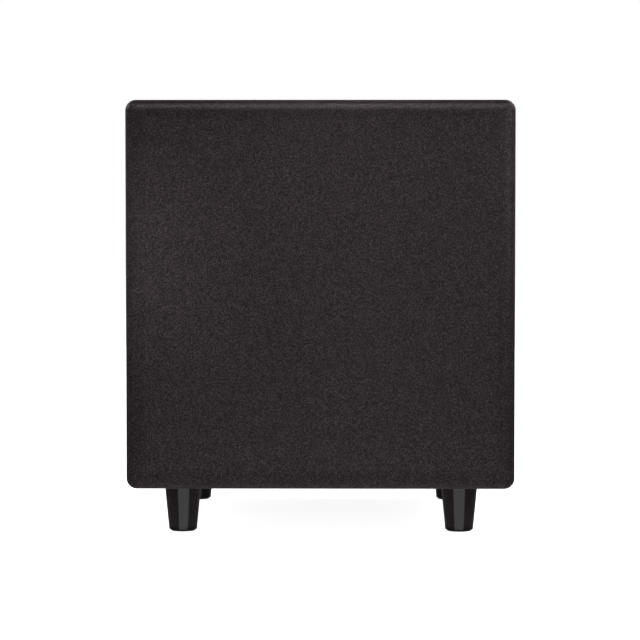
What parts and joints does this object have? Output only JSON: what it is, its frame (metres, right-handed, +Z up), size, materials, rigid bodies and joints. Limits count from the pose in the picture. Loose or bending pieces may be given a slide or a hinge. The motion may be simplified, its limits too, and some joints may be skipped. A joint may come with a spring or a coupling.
{
  "type": "powered subwoofer",
  "caption": "Cube powered subwoofer on four tapered round feet, with a pull-off cloth grille over a cone driver and a plate amplifier in the back.",
  "frame": {"origin": "on the floor, under the middle of the object's overall box", "axes": "+Z up, -Y out of the cloth grille, +Y out of the amplifier, +X to the right seen from the front"},
  "size_m": [0.31, 0.35, 0.35],
  "materials": {
    "mdf": "raw fibreboard",
    "vinyl_black": "fine ash-grain satin vinyl",
    "frame_plastic": "moulded satin",
    "grille_knit": "stretched fine knit",
    "rubber_black": "moulded",
    "foot_gloss": "gloss moulded",
    "steel_zinc": "zinc plated",
    "steel_black": "fine textured powder coat",
    "screw_black": "black oxide",
    "gasket_foam": "closed-cell foam",
    "cone_paper": "pressed pulp, coated",
    "former_film": "thin rolled sheet",
    "coil_copper": "enamelled wire",
    "spider_cloth": "treated woven cloth",
    "magnet_ferrite": "ground ferrite",
    "tag_board": "phenolic board",
    "lead_braid": "tinned braid",
    "wire_red_black": "insulated wire",
    "heatsink_black": "black anodised",
    "board_green": "solder-mask board",
    "toroid_wrap": "taped winding",
    "capacitor_sleeve": "shrunk sleeve",
    "moulding_black": "glass-filled moulding",
    "pin_nickel": "nickel plated",
    "fuse_glass": "tube with nickel caps",
    "knob_plastic": "satin with a white pointer",
    "socket_plastic": "coloured ring",
    "led_lens": "diffused red lens",
    "print_white": "screen-printed ink"
  },
  "bodies": {
    "cabinet": {"top_panel": "mdf", "bottom_panel": "mdf", "left_side_panel": "mdf", "right_side_panel": "mdf", "front_baffle": "mdf", "back_panel": "mdf", "window_brace": "mdf", "vinyl_wrap": "vinyl_black", "grille_sockets": "rubber_black", "foot_front_left": "foot_gloss", "foot_front_right": "foot_gloss", "foot_rear_left": "foot_gloss", "foot_rear_right": "foot_gloss", "foot_pads": "rubber_black", "foot_studs": "steel_zinc", "foot_inserts": "steel_zinc", "driver_basket": "steel_black", "driver_gasket": "gasket_foam", "surround": "rubber_black", "spider": "spider_cloth", "top_plate": "steel_zinc", "magnet": "magnet_ferrite", "pole_yoke": "steel_zinc", "driver_terminals": "tag_board", "tinsel_leads": "lead_braid", "driver_screws": "screw_black", "amp_plate": "steel_black", "amp_gasket": "gasket_foam", "amp_screws": "screw_black", "heatsink": "heatsink_black", "amp_housing": "moulding_black", "amp_board": "board_green", "transformer": "toroid_wrap", "transformer_clamp": "steel_zinc", "transformer_bolt": "screw_black", "capacitors": "capacitor_sleeve", "power_inlet": "moulding_black", "inlet_pins": "pin_nickel", "power_switch_housing": "moulding_black", "potentiometers": "moulding_black", "slide_switch_frames": "moulding_black", "rca_shells": "pin_nickel", "rca_insulators": "socket_plastic", "status_led": "led_lens", "speaker_wires": "wire_red_black"},
    "grille": {"grille_frame": "frame_plastic", "grille_cloth": "grille_knit"},
    "cone_assembly": {"cone": "cone_paper", "dust_cap": "cone_paper", "coil_former": "former_film", "voice_coil": "coil_copper"},
    "level": {"level_knob": "knob_plastic", "level_shaft": "steel_zinc"},
    "crossover": {"crossover_knob": "knob_plastic", "crossover_shaft": "steel_zinc"},
    "rocker": {"power_rocker": "moulding_black"},
    "fuse_tray": {"fuse_drawer": "moulding_black", "mains_fuse": "fuse_glass"},
    "phase": {"phase_slider": "moulding_black"},
    "mode": {"mode_slider": "moulding_black"}
  },
  "joints": [
    {"name": "grille_pull", "type": "slide", "parent": "cabinet", "child": "grille", "axis": [0, -1, 0], "range_m": [0, 0.06]},
    {"name": "cone_travel", "type": "slide", "parent": "cabinet", "child": "cone_assembly", "axis": [0, -1, 0], "range_m": [-0.012, 0.012], "stiffness_N_per_m": 5000, "deforming": ["surround", "spider", "tinsel_leads"]},
    {"name": "level_turn", "type": "hinge", "parent": "cabinet", "child": "level", "pos_m": [0.066, 0.165, 0.279], "axis": [0, -1, 0], "range_deg": [-150, 150]},
    {"name": "crossover_turn", "type": "hinge", "parent": "cabinet", "child": "crossover", "pos_m": [0.022, 0.165, 0.279], "axis": [0, -1, 0], "range_deg": [-150, 150]},
    {"name": "power_rock", "type": "hinge", "parent": "cabinet", "child": "rocker", "pos_m": [0.008, 0.1585, 0.109], "axis": [1, 0, 0], "range_deg": [0, 18]},
    {"name": "fuse_drawer_slide", "type": "slide", "parent": "cabinet", "child": "fuse_tray", "axis": [0, 1, 0], "range_m": [0, 0.014]},
    {"name": "phase_slide", "type": "slide", "parent": "cabinet", "child": "phase", "axis": [-1, 0, 0], "range_m": [0, 0.004]},
    {"name": "mode_slide", "type": "slide", "parent": "cabinet", "child": "mode", "axis": [-1, 0, 0], "range_m": [-0.003, 0.003]}
  ]
}
